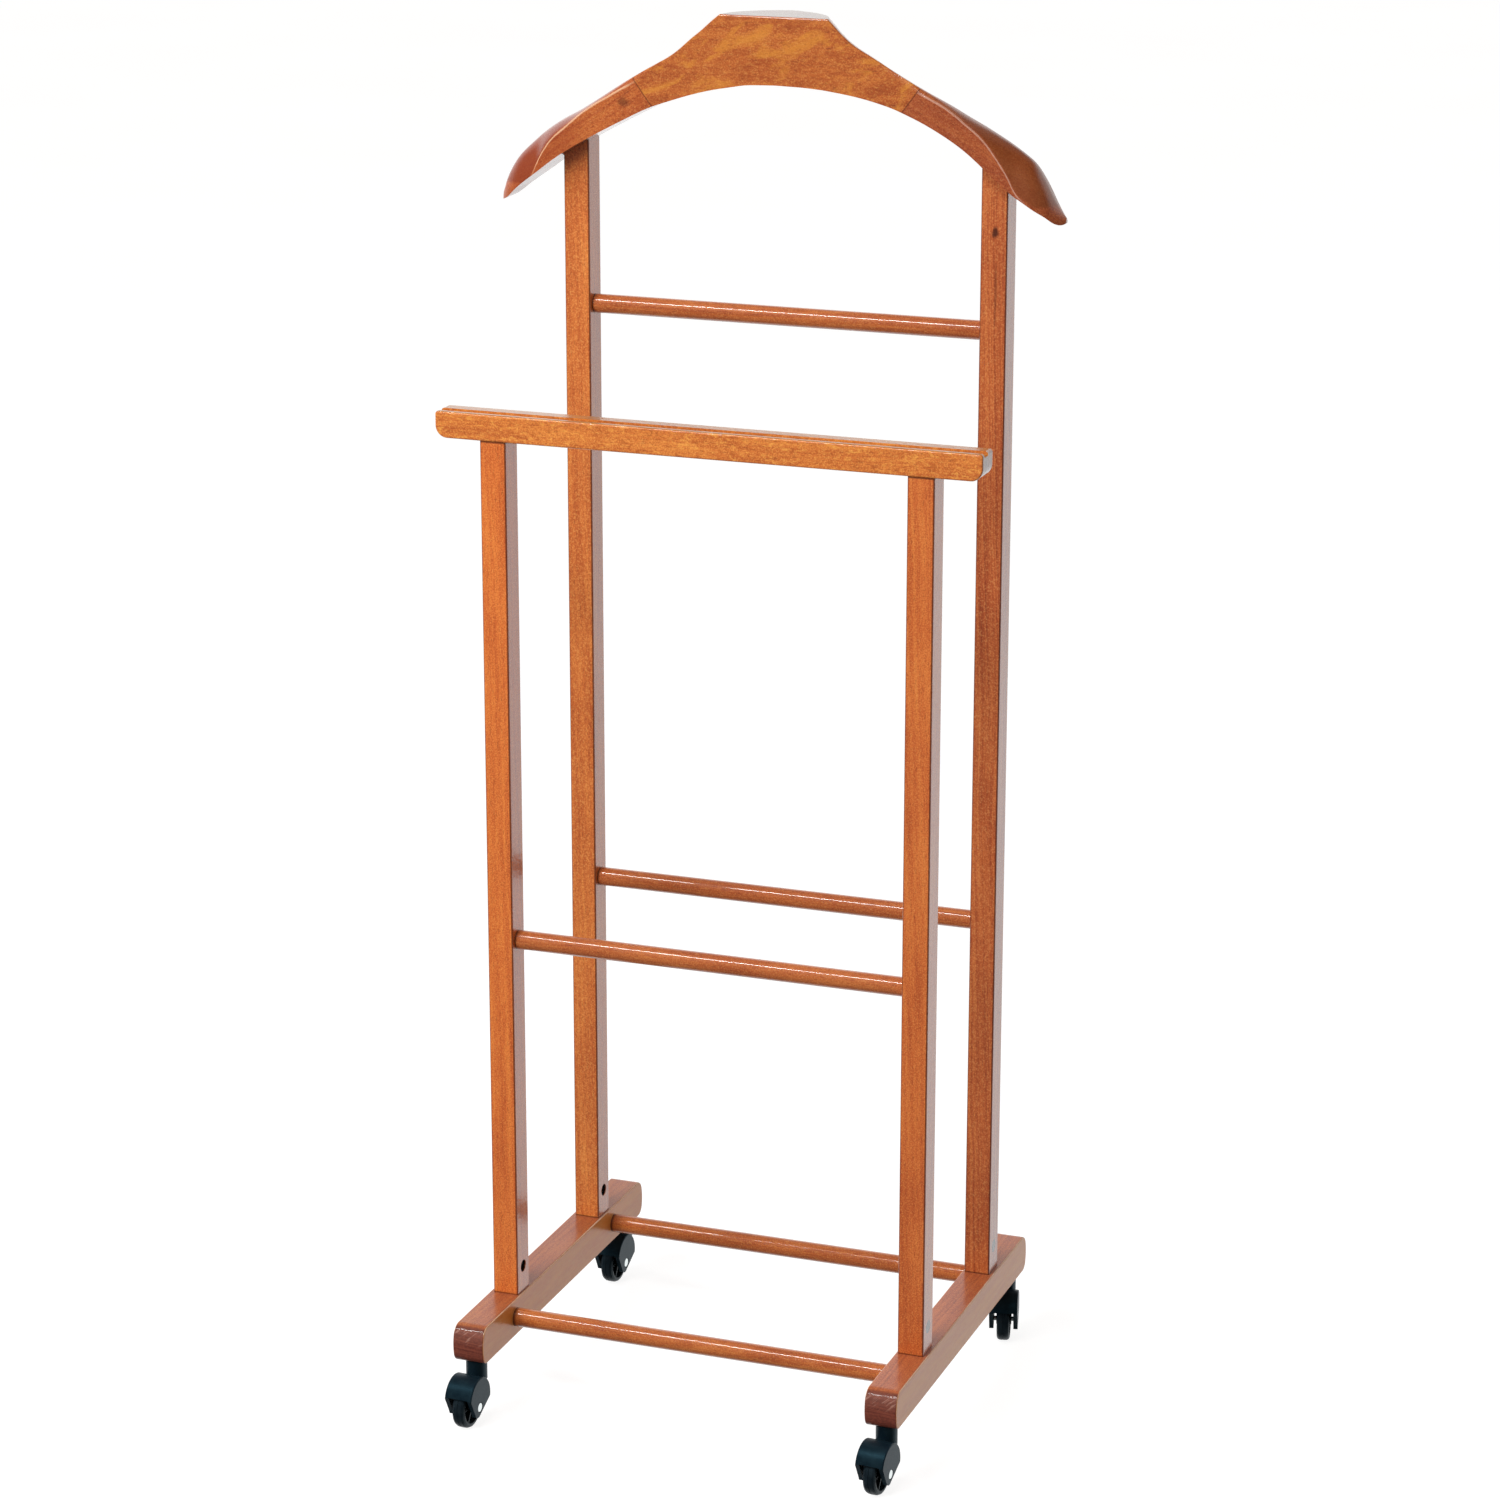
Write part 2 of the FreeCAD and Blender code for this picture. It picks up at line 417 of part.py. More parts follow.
# ---------------------------------------------------------------- casters
def caster(name, x, y, turn):
    # built with the stem at the origin of X and Y and the wheel trailing to -Y
    zc = wheel_r
    t = trail
    out = {}
    # socket: a flanged sleeve pressed into the rail
    so = cyl(sock_r, sock_top - rail_z0, (0, 0, rail_z0), (0, 0, 1)).fuse(
        cyl(flange_r, flange_t, (0, 0, rail_z0 - flange_t), (0, 0, 1)))
    so = so.cut(cyl(stem_r + bore_clear, 27.3, (0, 0, rail_z0 - flange_t - 0.1), (0, 0, 1)))
    # inner groove for the grip ring
    so = so.cut(cyl(4.75, 2.2, (0, 0, rail_z0 + 19.4), (0, 0, 1)))
    so = so.removeSplitter()
    out["socket"] = so.Solids[0]
    # stem with a ring groove
    neck_top = rail_z0 - flange_t - 0.3
    st = cyl(stem_r, 37.4, (0, 0, neck_top - 12.0), (0, 0, 1))
    ring_z = rail_z0 + 19.8
    st = st.cut(cyl(6.0, 1.4, (0, 0, ring_z), (0, 0, 1)).cut(cyl(3.3, 1.4, (0, 0, ring_z), (0, 0, 1))))
    es = [e for e in st.Edges if e.BoundBox.ZMin > neck_top + 25.0 and e.BoundBox.ZLength < 1e-6]
    try:
        st = st.makeChamfer(0.7, es)
    except Exception as ex:
        print("stem chamfer skipped", ex)
    out["stem"] = st.Solids[0]
    # grip ring: a split spring ring
    rg = cyl(4.45, 1.2, (0, 0, ring_z + 0.1), (0, 0, 1)).cut(cyl(3.35, 2.0, (0, 0, ring_z - 0.2), (0, 0, 1)))
    rg = rg.cut(box(-0.7, 0.7, 0, 6, ring_z - 1, ring_z + 3))
    out["grip_ring"] = rg.Solids[0]
    # hood: a drum of two cheeks and a shell, with the neck on top
    hy, hz = -(t - hood_dy), zc + hood_dz
    hw = hood_w / 2
    drum = cyl(hood_r, hood_w, (-hw, hy, hz), (1, 0, 0))
    es = [e for e in drum.Edges if e.BoundBox.XLength < 1e-6 and e.BoundBox.YLength > 1]
    drum = drum.makeFillet(1.0, es)
    # cheeks taper to a rounded tip under the axle
    tip_y, tip_z, tip_r = -(t + 3.4), zc - 1.6, 5.6
    fr = [(hy - hood_r - 3, hz + 4.2), (hy - hood_r + 0.4, hz + 4.2), (hy - 14.4, zc + 6.2),
          (tip_y - tip_r * 0.97, tip_z - 1.4), (tip_y - tip_r * 0.78, tip_z - tip_r * 0.72),
          (tip_y - 1.2, tip_z - tip_r), (tip_y - 1.2, -5.0), (hy - hood_r - 3, -5.0)]
    ba = [(hy + hood_r + 3, zc + 4.0), (hy + hood_r - 0.25, zc + 4.0),
          (tip_y + tip_r * 0.80, tip_z - tip_r * 0.66), (tip_y + 1.4, tip_z - tip_r), (tip_y + 1.4, -5.0),
          (hy + hood_r + 3, -5.0)]
    for poly in (fr, ba):
        w = Part.makePolygon([V(-20, a, b) for a, b in poly] + [V(-20, *poly[0])])
        drum = drum.cut(Part.Face(w).extrude(V(40, 0, 0)))
    drum = drum.cut(box(-20, 20, tip_y - 2, tip_y + 2, -5, tip_z - tip_r))
    nk = cyl(neck_r, neck_top - 34.0, (0, 0, 34.0), (0, 0, 1)).fuse(
        Part.makeCone(4.2, neck_r, 7.0, V(0, 0, 27.0), V(0, 0, 1)))
    hood = drum.fuse(nk)
    iw = hw - cheek
    hood = hood.cut(cyl(hood_r - hood_wall, 2 * iw, (-iw, hy, hz), (1, 0, 0)))
    lipf, lipb = zc + 11.2, zc + 9.0
    w = Part.makePolygon([V(-iw, hy - 30, -5), V(-iw, hy - 30, lipf), V(-iw, hy, lipf), V(-iw, hy, lipb),
                          V(-iw, hy + 30, lipb), V(-iw, hy + 30, -5), V(-iw, hy - 30, -5)])
    hood = hood.cut(Part.Face(w).extrude(V(2 * iw, 0, 0)))
    hood = hood.cut(cyl(axle_r, 60, (-30, -t, zc), (1, 0, 0)))
    for s in (1, -1):
        hood = hood.cut(cyl(head_r + 0.4, 3.0, (s * (hw - 1.0), -t, zc), (s, 0, 0)))
    hood = hood.cut(cyl(stem_r, 13.0, (0, 0, neck_top - 12.0), (0, 0, 1)))
    hood = hood.removeSplitter()
    hood = sorted(hood.Solids, key=lambda q: -q.Volume)[0]
    es = [e for e in hood.Edges if abs(e.BoundBox.ZMin - neck_top) < 1e-3 and abs(e.BoundBox.XLength - 2 * neck_r) < 0.1]
    try:
        h2 = hood.makeFillet(0.8, es)
        if h2.isValid():
            hood = h2.Solids[0]
    except Exception as ex:
        print("neck fillet skipped", ex)
    out["hood"] = hood
    # axle: a rivet with two low domed heads
    ax = cyl(axle_r, hood_w - 1.9, (-hw + 0.95, -t, zc), (1, 0, 0))
    for s in (1, -1):
        hd = cyl(head_r, 0.75, (s * (hw - 1.0), -t, zc), (s, 0, 0))
        e2 = [e for e in hd.Edges if abs(abs(e.BoundBox.XMin) - (hw - 0.25)) < 1e-3 and e.BoundBox.XLength < 1e-6]
        hd = hd.makeFillet(0.45, e2)
        ax = ax.fuse(hd)
    ax = ax.removeSplitter()
    out["axle"] = ax.Solids[0]
    # wheel: two moulded rims on a web, hollow sides with ribs
    ww = wheel_w / 2
    prof = [(-ww - 0.9, wheel_bore), (-ww - 0.9, hub_r), (-1.2, hub_r), (-1.2, 13.5), (-ww, 13.8),
            (-ww, wheel_r - 2.4), (-ww + 0.7, wheel_r - 0.9), (-ww + 2.2, wheel_r - 0.15), (-0.35, wheel_r),
            (-0.2, wheel_r - 0.35), (0.2, wheel_r - 0.35), (0.35, wheel_r), (ww - 2.2, wheel_r - 0.15),
            (ww - 0.7, wheel_r - 0.9), (ww, wheel_r - 2.4), (ww, 13.8), (1.2, 13.5), (1.2, hub_r),
            (ww + 0.9, hub_r), (ww + 0.9, wheel_bore)]
    w = Part.makePolygon([V(a, -t, zc + r) for a, r in prof] + [V(prof[0][0], -t, zc + prof[0][1])])
    wheel = Part.Face(w).revolve(V(0, -t, zc), V(1, 0, 0), 360)
    for i in range(6):
        rib = box(-ww + 0.8, ww - 0.8, -t - 0.7, -t + 0.7, zc + hub_r - 0.6, zc + 13.8)
        rib.rotate(V(0, -t, zc), V(1, 0, 0), 30 + 60 * i)
        wheel = wheel.fuse(rib)
    wheel = wheel.removeSplitter()
    out["wheel"] = wheel.Solids[0]
    for n, s in out.items():
        if n != "socket":
            s.rotate(V(0, 0, 0), V(0, 0, 1), turn)
        s.translate(V(x, y, 0))
        save("%s_caster_%s" % (name, n), s)
    a = math.radians(turn)
    print("JOINT %s swivel (%.3f, %.3f, %.3f)  wheel (%.4f, %.4f, %.4f) axis (%.6f, %.6f)" % (
        name, x, y, rail_z0, x + t * math.sin(a), y - t * math.cos(a), zc, math.cos(a), math.sin(a)))


wheel_bore = axle_r + bore_clear

# ---------------------------------------------------------------- write the parts
save("left_foot_rail", foot_rail(-1))
save("right_foot_rail", foot_rail(1))
save("front_left_post", post(-1, True))
save("front_right_post", post(1, True))
save("rear_left_post", post(-1, False))
save("rear_right_post", post(1, False))
save("front_crossbar", bar)
save("hanger_centre", centre)
save("hanger_left_shoulder", shoulder[-1])
save("hanger_right_shoulder", shoulder[1])


def rung(y, z, half):
    return place(pilot_chamfer(dow_r, 2 * half), (-half, y, z), (1, 0, 0))


save("upper_rear_dowel", rung(rpy, z_upper, post_xi + dow_in - 0.3))
save("lower_rear_dowel", rung(rpy, z_lower, post_xi + dow_in - 0.3))
save("front_dowel", rung(fpy, z_front, post_xi + dow_in - 0.3))
save("front_base_dowel", rung(base_yf, z_base, rail_xi + dow_in - 0.3))
save("rear_base_dowel", rung(base_yr, z_base, rail_xi + dow_in - 0.3))

bolts, nuts, bpins, hpins = [], [], [], []
for sx in (-1, 1):
    for yc in (fpy, rpy):
        zh = rail_z0 + cbore_d
        b = cyl(bolt_r, rail_z1 + nut_up + 8.0 - zh, (sx * px, yc, zh), (0, 0, 1)).fuse(
            cyl(bolt_head_r, bolt_head_t, (sx * px, yc, zh - bolt_head_t), (0, 0, 1)))
        hexw = Part.makePolygon([V(sx * px + 2.3 * math.cos(math.radians(60 * i)),
                                   yc + 2.3 * math.sin(math.radians(60 * i)), zh - bolt_head_t - 0.5)
                                 for i in range(7)])
        b = b.cut(Part.Face(hexw).extrude(V(0, 0, 3.0)))
        bolts.append(b.removeSplitter().Solids[0])
        xa = post_xi + nut_in if sx > 0 else -post_xi - nut_in - nut_l
        n = cyl(nut_r, nut_l, (xa, yc, rail_z1 + nut_up), (1, 0, 0))
        n = n.cut(cyl(bolt_r, 14.0, (sx * px, yc, rail_z1 + nut_up - 7.0), (0, 0, 1)))
        # screwdriver slot in the end that faces out of the hole
        xs = post_xi + nut_in if sx > 0 else -post_xi - nut_in - 1.0
        n = n.cut(box(xs, xs + 1.0, yc - 0.6, yc + 0.6, rail_z1 + nut_up - 6, rail_z1 + nut_up + 6))
        nuts.append(n.Solids[0])
    bpins.append(place(pilot_chamfer(pin_r, bpin_z1 - bpin_z0), (sx * px, fpy, bpin_z0), (0, 0, 1)))
    hpins.append(place(pilot_chamfer(pin_r, post_pin_z1 - post_pin_z0), (sx * px, rpy, post_pin_z0), (0, 0, 1)))
save("connecting_bolts", Part.makeCompound(bolts))
save("barrel_nuts", Part.makeCompound(nuts))
save("crossbar_dowel_pins", Part.makeCompound(bpins))
save("post_top_dowel_pins", Part.makeCompound(hpins))
save("hanger_joint_dowel_pins",
     Part.makeCompound([place(pilot_chamfer(hpin_r, hpin_l, 0.5), p, d) for p, d in jpins]))

for nm, (x, y, a) in swivels.items():
    caster(nm, x, y, a)

bb = boxes[0]
for b in boxes[1:]:
    bb.add(b)
print("WHOLE X %.2f..%.2f  Y %.2f..%.2f  Z %.2f..%.2f  centre Y %.2f" % (
    bb.XMin, bb.XMax, bb.YMin, bb.YMax, bb.ZMin, bb.ZMax, (bb.YMin + bb.YMax) / 2))
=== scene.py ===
import math
import bpy
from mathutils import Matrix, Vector

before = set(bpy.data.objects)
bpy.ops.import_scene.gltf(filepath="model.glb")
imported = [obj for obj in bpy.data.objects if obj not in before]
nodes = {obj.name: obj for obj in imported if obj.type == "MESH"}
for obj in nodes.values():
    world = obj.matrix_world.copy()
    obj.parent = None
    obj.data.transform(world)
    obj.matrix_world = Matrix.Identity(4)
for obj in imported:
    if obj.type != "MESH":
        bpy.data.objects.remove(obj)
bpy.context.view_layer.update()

# measurements of the stand, in millimetres, where the finish needs a place
OY = 11.4
RAIL_TOP = 82.0
RAIL_IN, RAIL_OUT = 157.1, 182.7
POST_IN, POST_OUT = 158.7, 179.7
FPOST_Y0, RPOST_Y0, POST_D = -96.8 + OY, 72.5 + OY, 23.1
FPY, RPY = FPOST_Y0 + POST_D / 2, RPOST_Y0 + POST_D / 2
BAR_Z = 773.5
HANG_F = 51.6 + OY
JOINT_X, JOINT_Z = 106.0, 1019.5


# ------------------------------------------------------------------ node helpers
class Mat:
    def __init__(self, name):
        self.m = bpy.data.materials.new(name)
        self.m.use_nodes = True
        self.t = self.m.node_tree
        self.t.nodes.clear()
        self.out = self.node("ShaderNodeOutputMaterial")

    def node(self, kind, **props):
        n = self.t.nodes.new(kind)
        for k, v in props.items():
            setattr(n, k, v)
        return n

    def put(self, socket, v):
        if v is None:
            return
        if isinstance(v, bpy.types.NodeSocket):
            self.t.links.new(v, socket)
        elif isinstance(v, (tuple, list)) and len(v) == 3 and socket.type == "RGBA":
            socket.default_value = (*v, 1.0)
        else:
            socket.default_value = v

    def math(self, op, a, b=None, c=None, clamp=False):
        n = self.node("ShaderNodeMath", operation=op, use_clamp=clamp)
        for s, v in zip(n.inputs, (a, b, c)):
            self.put(s, v)
        return n.outputs[0]

    def vec(self, op, a, b=None, scale=None):
        n = self.node("ShaderNodeVectorMath", operation=op)
        self.put(n.inputs[0], a)
        self.put(n.inputs[1], b)
        if scale is not None:
            self.put(n.inputs["Scale"], scale)
        return n.outputs["Value"] if op in ("DOT_PRODUCT", "LENGTH", "DISTANCE") else n.outputs["Vector"]

    def xyz(self, v):
        n = self.node("ShaderNodeSeparateXYZ")
        self.put(n.inputs[0], v)
        return n.outputs[0], n.outputs[1], n.outputs[2]

    def join(self, x, y, z):
        n = self.node("ShaderNodeCombineXYZ")
        for s, v in zip(n.inputs, (x, y, z)):
            self.put(s, v)
        return n.outputs[0]

    def noise(self, v, scale=1.0, detail=3.0, rough=0.5, dist=0.0, colour=False):
        n = self.node("ShaderNodeTexNoise", noise_dimensions="3D")
        self.put(n.inputs["Vector"], v)
        n.inputs["Scale"].default_value = scale
        n.inputs["Detail"].default_value = detail
        n.inputs["Roughness"].default_value = rough
        n.inputs["Distortion"].default_value = dist
        return n.outputs["Color" if colour else "Fac"]

    def ramp(self, f, stops, kind="LINEAR"):
        n = self.node("ShaderNodeValToRGB")
        r = n.color_ramp
        r.interpolation = kind
        while len(r.elements) < len(stops):
            r.elements.new(0.5)
        for e, (p, c) in zip(r.elements, stops):
            e.position = p
            e.color = (*c, 1.0) if isinstance(c, (tuple, list)) else (c, c, c, 1.0)
        self.put(n.inputs["Fac"], f)
        return n.outputs["Color"]

    def band(self, v, a, b, lo=0.0, hi=1.0):
        # smooth step of v from a to b
        n = self.node("ShaderNodeMapRange", interpolation_type="SMOOTHSTEP")
        self.put(n.inputs["Value"], v)
        for k, x in (("From Min", a), ("From Max", b), ("To Min", lo), ("To Max", hi)):
            n.inputs[k].default_value = x
        return n.outputs[0]

    def mix(self, f, a, b, kind="MIX"):
        n = self.node("ShaderNodeMix", data_type="RGBA", blend_type=kind)
        self.put(n.inputs["Factor"], f)
        self.put(n.inputs["A"] if False else n.inputs[6], a)
        self.put(n.inputs[7], b)
        return n.outputs[2]

    def bump(self, h, dist, strength=1.0, normal=None):
        n = self.node("ShaderNodeBump")
        self.put(n.inputs["Height"], h)
        n.inputs["Distance"].default_value = dist
        n.inputs["Strength"].default_value = strength
        if normal is not None:
            self.put(n.inputs["Normal"], normal)
        return n.outputs[0]

    def principled(self, **kw):
        n = self.node("ShaderNodeBsdfPrincipled")
        for k, v in kw.items():
            self.put(n.inputs[k.replace("_", " ")], v)
        self.t.links.new(n.outputs[0], self.out.inputs["Surface"])
        return n

    def mm(self):
        # object coordinates in millimetres
        tc = self.node("ShaderNodeTexCoord")
        self.obj_normal = tc.outputs["Normal"]
        return self.vec("SCALE", tc.outputs["Object"], scale=1000.0)


def lin(r, g, b):
    def f(c):
        c /= 255.0
        return c / 12.92 if c <= 0.04045 else ((c + 0.055) / 1.055) ** 2.4
    return (f(r), f(g), f(b))


# ------------------------------------------------------------------ wood
def wood(name, axis, seed, tone=1.0, warm=0.0, tilt=0.0, centre=(52.0, 31.0), figure=1.0, ring=2.6,
         end_grain=False, dark_spots=(), streak=1.0, coat=1.0, coat_rough=0.12, extra=None, base_sat=1.0, gain=(1.0, 1.0, 1.0), ripple=0.55):
    m = Mat(name)
    P = m.mm()
    x, y, z = m.xyz(P)
    if axis == "X":
        if tilt:
            n = m.node("ShaderNodeVectorRotate", rotation_type="Y_AXIS")
            m.put(n.inputs["Vector"], P)
            n.inputs["Angle"].default_value = math.radians(tilt)
            a, b, c = m.xyz(n.outputs[0])
            Q = m.join(a, b, c)
        else:
            Q = m.join(x, y, z)
    elif axis == "Y":
        Q = m.join(y, z, x)
    else:
        Q = m.join(z, x, y)
    Q = m.vec("ADD", Q, (seed * 173.0, seed * 61.7, seed * 37.3))
    # slow wander of the fibres
    w = m.noise(m.vec("MULTIPLY", Q, (1 / 210, 1 / 60, 1 / 60)), 1.0, 2.0, 0.5, colour=True)
    w = m.vec("SCALE", m.vec("SUBTRACT", w, (0.5, 0.5, 0.5)), scale=13.0 * figure)
    W = m.vec("ADD", Q, m.vec("MULTIPLY", w, (0.0, 1.0, 1.0)))
    u, v, q = m.xyz(W)
    # growth rings round a pith that lies beside the piece, leaning a little along the grain
    du = m.math("SUBTRACT", u, seed * 173.0)
    dv = m.math("ADD", m.math("SUBTRACT", v, seed * 61.7 + centre[0]), m.math("MULTIPLY", du, 0.035 * figure))
    dq = m.math("ADD", m.math("SUBTRACT", q, seed * 37.3 + centre[1]), m.math("MULTIPLY", du, -0.02 * figure))
    rad = m.math("SQRT", m.math("ADD", m.math("MULTIPLY", dv, dv), m.math("MULTIPLY", dq, dq)))
    rings = m.noise(m.join(m.math("MULTIPLY", u, 1 / 520), m.math("DIVIDE", rad, ring), seed * 7.1), 1.0, 2.0, 0.55)
    broad = m.noise(m.vec("MULTIPLY", W, (1 / 95, 1 / 11, 1 / 11)), 1.0, 3.0, 0.55)
    fibre = m.noise(m.vec("MULTIPLY", W, (1 / 34, 1 / 0.9, 1 / 0.9)), 1.0, 3.0, 0.6)
    mott = m.noise(m.vec("MULTIPLY", Q, (1 / 9.0, 1 / 1.9, 1 / 1.9)), 1.0, 4.0, 0.62)
    cloud = m.noise(m.vec("MULTIPLY", Q, (1 / 70, 1 / 30, 1 / 30)), 1.0, 2.0, 0.5)
    t = m.math("MULTIPLY", rings, 0.34 * streak)
    t = m.math("MULTIPLY_ADD", broad, 0.24, t)
    t = m.math("MULTIPLY_ADD", fibre, 0.16, t)
    t = m.math("MULTIPLY_ADD", mott, 0.20, t)
    t = m.math("MULTIPLY_ADD", cloud, 0.22, t)
    t = m.math("ADD", t, (1.0 - streak) * 0.17 - 0.08 + warm)
    col = m.ramp(t, [(0.30, lin(150, 66, 34)), (0.42, lin(186, 92, 46)), (0.52, lin(205, 110, 56)),
                     (0.62, lin(219, 128, 66)), (0.78, lin(232, 156, 88))])
    # open pores: short dark dashes along the fibre
    pore = m.noise(m.vec("MULTIPLY", W, (1 / 5.2, 1 / 0.62, 1 / 0.62)), 1.0, 1.0, 0.4)
    pm = m.band(pore, 0.62, 0.72)
    col = m.mix(m.math("MULTIPLY", pm, 0.42), col, lin(112, 46, 24))
    # fine grain speckle of the stained surface
    sp = m.noise(P, 0.9, 2.0, 0.6)
    col = m.mix(m.math("MULTIPLY", m.band(sp, 0.50, 0.68), 0.34), col, lin(244, 178, 108))
    col = m.mix(m.math("MULTIPLY", m.band(sp, 0.50, 0.33), 0.30), col, lin(120, 46, 20))
    rough = m.math("MULTIPLY_ADD", mott, 0.18, 0.36)
    if end_grain:
        # the sawn ends of the rails: darker, with saw marks on the upper part painted as light streaks of
        # highlight, and growth lines below
        nx, ny, nz = m.xyz(m.obj_normal)
        ends = m.band(m.math("ABSOLUTE", ny), 0.28, 0.62)
        gl = m.noise(m.join(m.math("MULTIPLY", x, 1 / 40.0), m.math("MULTIPLY", y, 0.0),
                            m.math("MULTIPLY_ADD", x, 0.06, m.math("MULTIPLY", z, 0.85))), 1.0, 3.0, 0.55, 0.4)
        ec = m.ramp(gl, [(0.28, lin(92, 36, 28)), (0.48, lin(114, 49, 37)), (0.64, lin(132, 62, 46)),
                         (0.80, lin(150, 80, 62))])
        ec = m.mix(m.math("MULTIPLY", m.band(mott, 0.44, 0.62), 0.45), ec, lin(150, 72, 52))
        sawp = m.math("ADD", m.math("MULTIPLY", z, 0.50), m.math("MULTIPLY", x, -0.42))
        sn = m.noise(m.join(m.math("MULTIPLY", x, 0.08), sawp, m.math("MULTIPLY", z, 0.06)), 1.0, 2.0, 0.6, 0.3)
        up = m.band(z, 66.0, 74.0)
        topfade = m.band(z, 81.0, 77.5)
        saw_marks_and_glint = m.math("MULTIPLY", m.math("MULTIPLY", m.band(sn, 0.53, 0.64), up), topfade)
        ec = m.mix(m.math("MULTIPLY", saw_marks_and_glint, 0.62), ec, lin(196, 150, 140))
        # painted highlight: the upper part of the end is lightened
        ec = m.mix(m.math("MULTIPLY", m.math("MULTIPLY", up, topfade), 0.18), ec, lin(170, 120, 110))
        col = m.mix(ends, col, ec)
        rough = m.math("MULTIPLY_ADD", ends, 0.12, rough)
    for (px_, py_, pz_, r0, r1, along, strength) in dark_spots:
        # knots and dark marks, drawn out along the grain
        d = m.vec("SUBTRACT", P, (px_, py_, pz_))
        k = {"X": (1 / along, 1, 1), "Y": (1, 1 / along, 1), "Z": (1, 1, 1 / along)}[axis]
        d = m.vec("LENGTH", m.vec("MULTIPLY", d, k))
        d = m.math("MULTIPLY_ADD", m.math("SUBTRACT", mott, 0.5), r1 * 1.1, d)
        col = m.mix(m.math("MULTIPLY", m.band(d, r1, r0), strength), col, lin(72, 28, 16))
    if extra is not None:
        col, rough = extra(m, P, (x, y, z), col, rough, dict(W=W, fibre=fibre, mott=mott, broad=broad, cloud=cloud))
    if tone != 1.0 or base_sat != 1.0:
        n = m.node("ShaderNodeHueSaturation")
        n.inputs["Saturation"].default_value = base_sat
        n.inputs["Value"].default_value = tone
        m.put(n.inputs["Color"], col)
        col = n.outputs[0]
    if gain != (1.0, 1.0, 1.0):
        col = m.mix(1.0, col, gain, "MULTIPLY")
    # relief: fibres under the lacquer, and the lacquer's own slight orange peel
    h = m.math("MULTIPLY_ADD", m.math("SUBTRACT", 1.0, pm), 0.6, fibre)
    b = m.bump(h, 0.00010, 0.5)
    peel = m.noise(P, 0.42, 2.0, 0.5)
    peel = m.math("MULTIPLY_ADD", fibre, 0.25, peel)
    cb = m.bump(peel, 0.00030, ripple)
    m.principled(Base_Color=col, Roughness=rough, Specular_IOR_Level=0.34, IOR=1.5, Coat_Weight=coat,
                 Coat_Roughness=coat_rough, Coat_IOR=1.6, Normal=b, Coat_Normal=cb)
    return m.m


def near(m, v, at, w):
    # 1 where v is at the place, falling to 0 at a distance w
    return m.band(m.math("ABSOLUTE", m.math("SUBTRACT", v, at)), w, w * 0.35)


def post_extra(front):
    def f(m, P, xyz, col, rough, d):
        x, y, z = xyz
        # painted shade where the post stands on the rail and meets the bar above it
        k = near(m, z, RAIL_TOP, 1.6)
        if front:
            k = m.math("MAXIMUM", k, near(m, z, BAR_Z, 1.5))
        # painted shade round the rung sockets and in the cross hole on the inner face
        nx, ny, nz = m.xyz(m.obj_normal)
        k = m.math("MULTIPLY", k, 0.75)
        col = m.mix(k, col, lin(58, 20, 12))
        hy = m.math("SUBTRACT", y, FPY if front else RPY)
        hz = m.math("SUBTRACT", z, RAIL_TOP + 21.0)
        hr = m.math("SQRT", m.math("ADD", m.math("MULTIPLY", hy, hy), m.math("MULTIPLY", hz, hz)))
        inside = m.band(m.math("ABSOLUTE", x), POST_IN + 0.2, POST_IN + 1.2)
        col = m.mix(m.math("MULTIPLY", m.band(hr, 5.6, 5.1), inside), col, lin(20, 9, 7))
        # painted shade along the rounded corners of the post
        arris = m.band(m.math("MINIMUM", m.math("ABSOLUTE", nx), m.math("ABSOLUTE", ny)), 0.12, 0.38)
        col = m.mix(m.math("MULTIPLY", arris, 0.72), col, lin(92, 36, 20))
        return col, rough
    return f


def rail_extra(top_tint):
    def f(m, P, xyz, col, rough, d):
        nx, ny, nz = m.xyz(m.obj_normal)
        # painted shade: the top faces are tinted darker and warmer
        col = m.mix(m.band(nz, 0.5, 0.9), col, m.mix(1.0, col, top_tint, "MULTIPLY"))
        # painted light: the sides facing +X are made paler and yellower
        side = m.mix(m.band(d["broad"], 0.35, 0.65), (0.90, 0.32, 0.045), (1.0, 0.42, 0.06))
        side = m.mix(m.math("MULTIPLY", m.band(d["mott"], 0.45, 0.62), 0.35), side, (1.0, 0.55, 0.16))
        col = m.mix(m.math("MULTIPLY", m.band(nx, 0.55, 0.85), 0.95), col, side)
        # painted highlight: the long rounded edges are made pale, broken up by noise
        edge = m.band(m.math("MINIMUM", m.math("ABSOLUTE", nx), nz), 0.30, 0.50)
        highlight_mottle = m.band(m.noise(m.vec("MULTIPLY", P, (0.2, 0.05, 0.2)), 1.0, 3.0, 0.6), 0.36, 0.58)
        col = m.mix(m.math("MULTIPLY", edge, m.math("MULTIPLY_ADD", highlight_mottle, 0.55, 0.35)), col, lin(255, 222, 190))
        return col, rough
    return f


def dowel_extra(xin, w):
    def f(m, P, xyz, col, rough, d):
        x = m.math("ABSOLUTE", xyz[0])
        # painted shade where the dowel goes into the post or rail
        k = m.band(x, xin - w, xin - w * 0.25)
        k = m.math("MULTIPLY", k, 0.8)
        return m.mix(k, col, lin(62, 22, 12)), rough
    return f


def joint_dark(m, xyz, col):
    # the glue line between the centre piece and the shoulders
    x, y, z = xyz
    ax = m.math("ABSOLUTE", x)
    d = m.math("ADD", m.math("MULTIPLY", m.math("SUBTRACT", ax, JOINT_X), 0.80),
               m.math("MULTIPLY", m.math("SUBTRACT", z, JOINT_Z), -0.60))
    k = m.band(m.math("ABSOLUTE", d), 0.75, 0.15)
    return m.mix(m.math("MULTIPLY", k, 0.62), col, lin(82, 34, 20))


